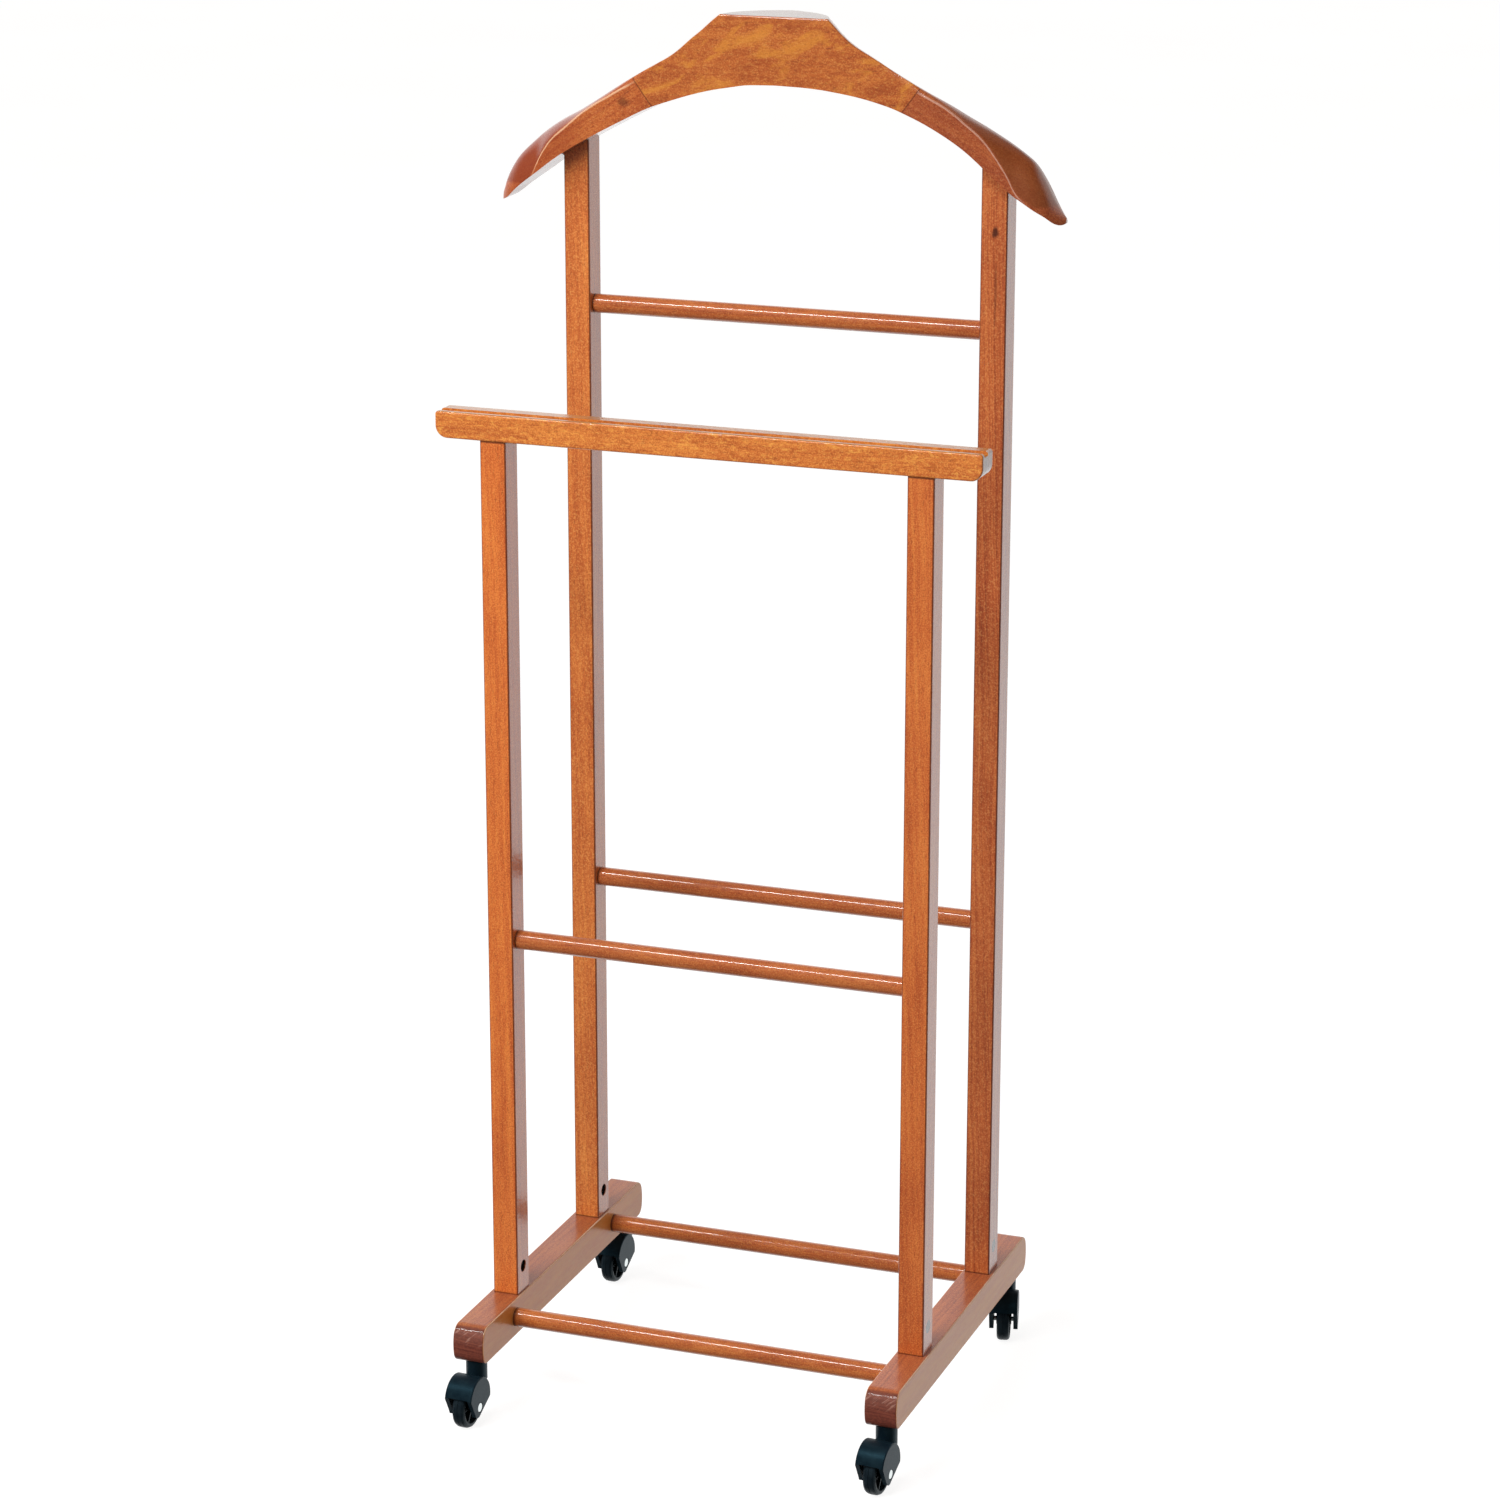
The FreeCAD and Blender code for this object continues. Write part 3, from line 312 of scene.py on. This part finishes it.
def curve(m, v, table):
    # a table of (x, z) as one node: the height of a line drawn along the hanger
    x0, x1 = table[0][0], table[-1][0]
    z0, z1 = min(p[1] for p in table), max(p[1] for p in table)
    n = m.node("ShaderNodeFloatCurve")
    c = n.mapping.curves[0]
    pts = [((p[0] - x0) / (x1 - x0), (p[1] - z0) / (z1 - z0)) for p in table]
    c.points[0].location = pts[0]
    c.points[1].location = pts[-1]
    for p in pts[1:-1]:
        c.points.new(*p)
    n.mapping.update()
    m.put(n.inputs["Value"], m.math("DIVIDE", m.math("SUBTRACT", v, x0), x1 - x0, clamp=True))
    n.inputs["Factor"].default_value = 1.0
    return m.math("MULTIPLY_ADD", n.outputs[0], z1 - z0, z0)


CREASE_R = [(100.0, 1037.9), (112.0, 1031.2), (121.0, 1026.8), (136.0, 1019.2), (151.0, 1008.6), (166.0, 996.2),
            (176.6, 982.8), (185.7, 969.0), (190.0, 960.8), (194.0, 955.6), (199.0, 951.8), (206.0, 947.2)]
CREASE_L = [(100.0, 1036.4), (112.0, 1027.0), (121.0, 1022.0), (136.0, 1013.4), (152.8, 1003.0), (169.6, 989.4),
            (180.9, 979.6), (187.3, 971.4), (193.0, 961.4), (197.0, 952.8), (201.0, 946.4), (207.0, 942.2)]


def hanger_common(m, P, xyz, col, rough, d, side=0):
    x, y, z = xyz
    nx, ny, nz = m.xyz(m.obj_normal)
    ax = m.math("ABSOLUTE", x)
    if side:
        # painted highlight: a thin bright line along the crease of the front face
        zc = curve(m, ax, CREASE_R if side > 0 else CREASE_L)
        front = m.band(y, HANG_F + 2.2, HANG_F + 0.8)
        wob = m.math("MULTIPLY", m.math("SUBTRACT", d["mott"], 0.5), 1.2)
        dz = m.math("ABSOLUTE", m.math("ADD", m.math("SUBTRACT", z, zc), wob))
        run = m.math("MULTIPLY", m.band(ax, 108.0, 122.0), m.band(ax, 200.0, 192.0))
        k = m.math("MULTIPLY", m.math("MULTIPLY", m.band(dz, 1.25, 0.35), front), run)
        col = m.mix(m.math("MULTIPLY", k, 0.80), col, lin(250, 206, 176))
    # painted reflection: the level top of the neck is greyed; painted shade: the crest line is darkened
    topk = m.math("MULTIPLY", m.band(nz, 0.90, 0.985), m.band(z, 1078.0, 1080.0))
    col = m.mix(m.math("MULTIPLY", topk, 0.80), col, lin(88, 84, 76))
    rim = m.math("MULTIPLY", m.band(nz, 0.25, 0.55), m.band(ny, 0.02, 0.20))
    col = m.mix(m.math("MULTIPLY", rim, 0.22), col, lin(64, 36, 24))
    return joint_dark(m, xyz, col), rough


def hanger_extra(m, P, xyz, col, rough, d):
    x, y, z = xyz
    # broad light flames running up to the right across the centre piece
    n = m.node("ShaderNodeVectorRotate", rotation_type="Y_AXIS")
    m.put(n.inputs["Vector"], m.vec("ADD", P, (211.0, 0.0, 77.0)))
    n.inputs["Angle"].default_value = math.radians(27)
    f = m.noise(m.vec("MULTIPLY", n.outputs[0], (1 / 40, 1 / 60, 1 / 17)), 1.0, 4.0, 0.60, 0.9)
    k = m.band(f, 0.50, 0.66)
    col = m.mix(m.math("MULTIPLY", k, 0.55), col, lin(238, 160, 66))
    k2 = m.band(f, 0.46, 0.33)
    col = m.mix(m.math("MULTIPLY", k2, 0.40), col, lin(164, 74, 36))
    g = m.noise(m.vec("MULTIPLY", P, (1 / 2.6, 1 / 2.0, 1 / 1.1)), 1.0, 3.0, 0.65)
    col = m.mix(m.math("MULTIPLY", m.band(g, 0.54, 0.70), 0.38), col, lin(246, 178, 104))
    col = m.mix(m.math("MULTIPLY", m.band(g, 0.46, 0.30), 0.34), col, lin(130, 58, 28))
    return hanger_common(m, P, xyz, col, rough, d)


def shoulder_extra(side):
    def f(m, P, xyz, col, rough, d):
        x, y, z = xyz
        g = m.noise(m.vec("MULTIPLY", P, (1 / 2.4, 1 / 2.0, 1 / 1.2)), 1.0, 3.0, 0.65)
        col = m.mix(m.math("MULTIPLY", m.band(g, 0.54, 0.70), 0.26), col, lin(232, 160, 118))
        col = m.mix(m.math("MULTIPLY", m.band(g, 0.46, 0.30), 0.30), col, lin(112, 46, 28))
        if side > 0:
            # painted shade: browner and darker past the crease
            ax = m.math("ABSOLUTE", x)
            past = m.band(m.math("SUBTRACT", z, curve(m, ax, CREASE_R)), 0.0, 3.0)
            past = m.math("MULTIPLY", past, m.band(ax, 120.0, 150.0))
            col = m.mix(past, col, m.mix(0.62, col, lin(150, 84, 30)))
        else:
            ax = m.math("ABSOLUTE", x)
            red = m.math("MULTIPLY", m.band(ax, 138.0, 172.0), m.band(z, 1010.0, 985.0))
            col = m.mix(m.math("MULTIPLY", red, 0.38), col, lin(150, 52, 22))
            # painted shade: darker past the crease
            past = m.band(m.math("SUBTRACT", z, curve(m, ax, CREASE_L)), 0.0, 3.0)
            past = m.math("MULTIPLY", past, m.band(ax, 112.0, 150.0))
            col = m.mix(m.math("MULTIPLY", past, 0.72), col, lin(140, 54, 26))
        return hanger_common(m, P, xyz, col, rough, d, side)
    return f


def bar_extra(m, P, xyz, col, rough, d):
    x, y, z = xyz
    # painted shade: the floor of the groove is darker
    ins = m.math("MULTIPLY", m.band(m.math("ABSOLUTE", m.math("SUBTRACT", y, FPOST_Y0 - 0.4 + 8.5)), 4.4, 4.0),
                 m.band(z, BAR_Z + 18.6, BAR_Z + 17.6))
    col = m.mix(m.math("MULTIPLY", ins, 0.70), col, lin(92, 42, 20))
    nx, ny, nz = m.xyz(m.obj_normal)
    g = m.noise(m.vec("MULTIPLY", P, (1 / 9.0, 1 / 6.0, 1 / 4.0)), 1.0, 4.0, 0.62, 1.4)
    col = m.mix(m.math("MULTIPLY", m.band(g, 0.52, 0.66), 0.42), col, lin(244, 172, 92))
    col = m.mix(m.math("MULTIPLY", m.band(g, 0.46, 0.34), 0.46), col, lin(150, 68, 26))
    # painted shade: the top faces are made a darker brown
    col = m.mix(m.math("MULTIPLY", m.band(nz, 0.6, 0.9), 0.65), col, (0.24, 0.105, 0.022))
    # the sawn ends are darker
    col = m.mix(m.math("MULTIPLY", m.band(m.math("ABSOLUTE", nx), 0.7, 0.9), 0.75), col, lin(70, 44, 36))
    return col, rough


# ------------------------------------------------------------------ plastics and metals
def plastic(name, col, dark, rough, coarse=1.0, tint=(1.0, 1.0, 1.0)):
    m = Mat(name)
    P = m.mm()
    n1 = m.noise(P, 0.9 * coarse, 3.0, 0.6)
    n2 = m.noise(P, 0.12, 2.0, 0.5)
    c = m.mix(m.band(n2, 0.35, 0.65), col, dark)
    c = m.mix(m.math("MULTIPLY", m.band(n1, 0.60, 0.74), 0.25), c, tuple(min(1, v * 2.2 + 0.006) for v in col))
    r = m.math("MULTIPLY_ADD", n1, 0.16, rough - 0.08)
    b = m.bump(m.noise(P, 3.2, 2.0, 0.6), 0.00005, 0.5)
    m.principled(Base_Color=c, Roughness=r, Specular_IOR_Level=0.30, Specular_Tint=tint, IOR=1.5, Normal=b)
    return m.m


def metal(name, col, rough, turned=False, stain=0.15):
    m = Mat(name)
    P = m.mm()
    n1 = m.noise(P, 0.5, 3.0, 0.6)
    n2 = m.noise(m.vec("MULTIPLY", P, (3.0, 3.0, 0.3)), 1.0, 2.0, 0.5)
    c = m.mix(m.math("MULTIPLY", m.band(n1, 0.45, 0.70), stain), col, tuple(v * 0.45 for v in col))
    r = m.math("MULTIPLY_ADD", n2, 0.20, rough - 0.08)
    b = m.bump(n2, 0.00004, 0.5)
    m.principled(Base_Color=c, Metallic=1.0, Roughness=r, IOR=1.5, Normal=b)
    return m.m


def pin_wood(name):
    m = Mat(name)
    P = m.mm()
    f = m.noise(m.vec("MULTIPLY", P, (1.2, 1.2, 0.05)), 1.0, 3.0, 0.6)
    g = m.noise(P, 0.25, 2.0, 0.5)
    c = m.ramp(m.math("MULTIPLY_ADD", g, 0.4, m.math("MULTIPLY", f, 0.6)),
               [(0.3, lin(186, 150, 112)), (0.6, lin(214, 184, 146)), (0.8, lin(228, 204, 170))])
    m.principled(Base_Color=c, Roughness=0.7, Specular_IOR_Level=0.25, IOR=1.5, Normal=m.bump(f, 0.0001, 0.6))
    return m.m


def paint(node, mat):
    o = nodes[node]
    o.data.materials.clear()
    o.data.materials.append(mat)


knot = (POST_IN + 11.5, RPOST_Y0, 925.0, 1.2, 3.2, 1.8, 0.9)
paint("left_foot_rail", wood("rail_wood_left", "Y", 3, tone=0.93, end_grain=True, centre=(-60, 40), gain=(0.97, 0.90, 0.78), extra=rail_extra((0.80, 0.76, 0.66)), coat=0.42, coat_rough=0.08, base_sat=0.94))
paint("right_foot_rail", wood("rail_wood_right", "Y", 8, tone=0.93, end_grain=True, centre=(70, -45), gain=(0.97, 0.90, 0.78), extra=rail_extra((0.96, 0.88, 0.70)), coat=0.42, coat_rough=0.08, base_sat=0.94))
paint("front_left_post", wood("post_wood_front_left", "Z", 1, warm=0.03, gain=(1.17, 1.05, 0.75), centre=(46, 34), extra=post_extra(True), coat=1.0, coat_rough=0.12))
paint("front_right_post", wood("post_wood_front_right", "Z", 5, warm=0.02, gain=(1.04, 0.92, 0.72), centre=(-58, 26), extra=post_extra(True), coat=1.0, coat_rough=0.12))
paint("rear_left_post", wood("post_wood_rear_left", "Z", 11, tone=0.93, warm=-0.01, gain=(1.22, 1.28, 1.05), centre=(39, -44), extra=post_extra(False), coat=1.0, coat_rough=0.12))
paint("rear_right_post", wood("post_wood_rear_right", "Z", 14, tone=0.86, warm=-0.03, gain=(1.10, 1.06, 1.05), centre=(-41, -36), ring=1.7, streak=1.7,
                              dark_spots=[knot, (POST_IN + 12.5, RPOST_Y0, 880.0, 0.3, 1.6, 22.0, 0.45)],
                              extra=post_extra(False), coat=1.0, coat_rough=0.12))
paint("front_crossbar", wood("crossbar_wood_a", "X", 21, tone=0.97, warm=0.0, gain=(1.18, 1.27, 0.90), centre=(38, 60), extra=bar_extra, coat=1.0, coat_rough=0.12))
paint("hanger_centre", wood("hanger_wood_a", "X", 30, warm=0.0, gain=(0.84, 0.80, 0.60), centre=(60, -90), ring=5.0, figure=1.6, extra=hanger_extra, ripple=0.25, coat=1.0, coat_rough=0.12))
paint("hanger_left_shoulder", wood("shoulder_wood_left", "X", 34, tone=0.90, warm=-0.02, gain=(0.95, 0.86, 0.70), tilt=32.0, centre=(70, 50),
                                   dark_spots=[(-121.0, HANG_F, 1011.0, 1.0, 4.6, 1.6, 0.55)], extra=shoulder_extra(-1), ripple=0.25, coat=1.0, coat_rough=0.12))
paint("hanger_right_shoulder", wood("shoulder_wood_right", "X", 39, tone=0.90, warm=0.0, gain=(0.72, 0.60, 0.62), tilt=-32.0, centre=(-66, 44),
                                    extra=shoulder_extra(1), ripple=0.25, coat=1.0, coat_rough=0.12))
for i, n in enumerate(("upper_rear_dowel", "lower_rear_dowel", "front_dowel")):
    paint(n, wood("dowel_wood_" + n, "X", 44 + 3 * i, tone=0.92, warm=-0.01, centre=(24, 18), ring=1.8,
                  gain=(0.92, 0.90, 0.82), extra=dowel_extra(POST_IN, 1.2), ripple=0.05, coat=1.0, coat_rough=0.06))
for i, n in enumerate(("front_base_dowel", "rear_base_dowel")):
    paint(n, wood("dowel_wood_" + n, "X", 57 + 3 * i, tone=0.95, warm=-0.01, centre=(-22, 20), ring=1.8,
                  gain=(0.95, 0.95, 0.82), extra=dowel_extra(RAIL_IN, 3.2), ripple=0.05, coat=1.0, coat_rough=0.06))

hood_plastic = plastic("hood_plastic_a", (0.0075, 0.0170, 0.0240), (0.0040, 0.0100, 0.0160), 0.40, tint=(0.22, 0.60, 0.80))
wheel_plastic = plastic("wheel_plastic_a", (0.010, 0.016, 0.021), (0.005, 0.009, 0.013), 0.46, 0.7, tint=(0.4, 0.7, 0.85))
socket_plastic = plastic("socket_plastic_a", (0.012, 0.013, 0.014), (0.008, 0.009, 0.010), 0.45)
zinc = metal("zinc_steel_a", (0.50, 0.49, 0.46), 0.38, stain=0.35)
dark_nut = metal("zinc_steel_nut", (0.040, 0.037, 0.034), 0.45, stain=0.5)
spring = metal("spring_steel_a", (0.42, 0.42, 0.43), 0.30)
rivet = metal("rivet_steel_a", (0.80, 0.86, 0.86), 0.24, stain=0.10)
pin = pin_wood("pin_wood_a")
for n in nodes:
    if n.endswith("_caster_hood"):
        paint(n, hood_plastic)
    elif n.endswith("_caster_wheel"):
        paint(n, wheel_plastic)
    elif n.endswith("_caster_socket"):
        paint(n, socket_plastic)
    elif n.endswith("_caster_stem") or n == "connecting_bolts":
        paint(n, zinc)
    elif n == "barrel_nuts":
        paint(n, dark_nut)
    elif n.endswith("_grip_ring"):
        paint(n, spring)
    elif n.endswith("_caster_axle"):
        paint(n, rivet)
    elif n.endswith("_dowel_pins"):
        paint(n, pin)

# ------------------------------------------------------------------ floor, light, camera
scene = bpy.context.scene


def plane(name, size, z):
    me = bpy.data.meshes.new(name)
    s = size / 2
    me.from_pydata([(-s, -s, z), (s, -s, z), (s, s, z), (-s, s, z)], [], [(0, 1, 2, 3)])
    o = bpy.data.objects.new(name, me)
    scene.collection.objects.link(o)
    return o


floor = plane("studio_floor", 60.0, 0.0)
fm = Mat("floor_pale")
nf = fm.noise(fm.mm(), 0.002, 2.0, 0.5)
fcol = fm.mix(nf, (0.96, 0.96, 0.96), (0.985, 0.985, 0.985))
bs = fm.node("ShaderNodeBsdfDiffuse")
fm.put(bs.inputs["Color"], (0.30, 0.30, 0.30))
em = fm.node("ShaderNodeEmission")
fm.put(em.inputs["Color"], fcol)
em.inputs["Strength"].default_value = 0.90
ad = fm.node("ShaderNodeAddShader")
fm.t.links.new(bs.outputs[0], ad.inputs[0])
fm.t.links.new(em.outputs[0], ad.inputs[1])
fm.t.links.new(ad.outputs[0], fm.out.inputs["Surface"])
floor.data.materials.append(fm.m)
floor.visible_diffuse = False
floor.visible_glossy = False

SIDE_FILL, GLOSS_FRONT, GLOSS_BACK = 0.22, 0.08, 1.08
world = bpy.data.worlds.new("studio")
scene.world = world
world.use_nodes = True
wt = world.node_tree
wt.nodes.clear()
wo = wt.nodes.new("ShaderNodeOutputWorld")
bg = wt.nodes.new("ShaderNodeBackground")
lp = wt.nodes.new("ShaderNodeLightPath")
tc = wt.nodes.new("ShaderNodeTexCoord")
sep = wt.nodes.new("ShaderNodeSeparateXYZ")
wt.links.new(tc.outputs["Generated"], sep.inputs[0])


def wband(v, a, b, lo, hi):
    n = wt.nodes.new("ShaderNodeMapRange")
    n.interpolation_type = "SMOOTHSTEP"
    wt.links.new(v, n.inputs["Value"])
    for k, x in (("From Min", a), ("From Max", b), ("To Min", lo), ("To Max", hi)):
        n.inputs[k].default_value = x
    return n.outputs[0]


def wmath(op, a, b, c=None):
    n = wt.nodes.new("ShaderNodeMath")
    n.operation = op
    for sock, v in zip(n.inputs, (a, b, c)):
        if isinstance(v, bpy.types.NodeSocket):
            wt.links.new(v, sock)
        elif v is not None:
            sock.default_value = v
    return n.outputs[0]


# a white room: bright behind the stand, dim in front of it and on its right
w_soft = wmath("MULTIPLY", wband(sep.outputs[0], -0.30, 0.55, 0.46, SIDE_FILL), wband(sep.outputs[2], -0.2, 0.9, 0.85, 1.15))
w_gloss = wmath("MULTIPLY", wband(sep.outputs[1], -0.15, 0.35, GLOSS_FRONT, GLOSS_BACK), wband(sep.outputs[2], 0.42, 0.75, 1.0, 0.15))
is_d = lp.outputs["Is Diffuse Ray"]
is_g = lp.outputs["Is Glossy Ray"]
w_all = wmath("SUBTRACT", 1.0, wmath("ADD", is_d, is_g))
w_all = wmath("MULTIPLY_ADD", w_soft, is_d, w_all)
w_all = wmath("MULTIPLY_ADD", w_gloss, is_g, w_all)
wx = wt.nodes.new("ShaderNodeMix")
wx.data_type = "RGBA"
wt.links.new(wmath("MULTIPLY", is_d, wband(sep.outputs[0], 0.0, 0.5, 0.0, 1.0)), wx.inputs["Factor"])
wx.inputs[6].default_value = (1.0, 1.0, 1.0, 1.0)
wx.inputs[7].default_value = (1.0, 0.70, 0.46, 1.0)
wt.links.new(wx.outputs[2], bg.inputs["Color"])
wt.links.new(w_all, bg.inputs["Strength"])
wt.links.new(bg.outputs[0], wo.inputs["Surface"])


def area(name, loc, target, sx, sy, power, colour=(1, 1, 1)):
    li = bpy.data.lights.new(name, "AREA")
    li.shape = "RECTANGLE"
    li.size, li.size_y = sx, sy
    li.energy = power
    li.color = colour
    o = bpy.data.objects.new(name, li)
    scene.collection.objects.link(o)
    o.location = loc
    o.rotation_euler = (Vector(target) - Vector(loc)).to_track_quat("-Z", "Y").to_euler()
    o.visible_camera = False
    return o


area("key_front_left", (-1.5, -3.0, 1.9), (0, 0, 0.6), 1.3, 1.6, 62.0)
bpy.data.objects["key_front_left"].visible_glossy = False
area("top_strip", (-0.75, -1.7, 2.9), (0, 0, 0.6), 2.4, 0.16, 46.0)

cam = bpy.data.cameras.new("camera")
cam.lens = 105.6177
cam.sensor_width = 36.0
cam.sensor_fit = "HORIZONTAL"
cam.clip_start, cam.clip_end = 0.05, 200.0
co = bpy.data.objects.new("camera", cam)
scene.collection.objects.link(co)
co.location = (1.13476, -3.06009 + OY / 1000.0, 1.48944)
co.rotation_euler = (math.radians(73.50995), math.radians(-0.05836), math.radians(20.33947))
scene.camera = co
scene.view_settings.view_transform = "Standard"
scene.view_settings.look = "None"
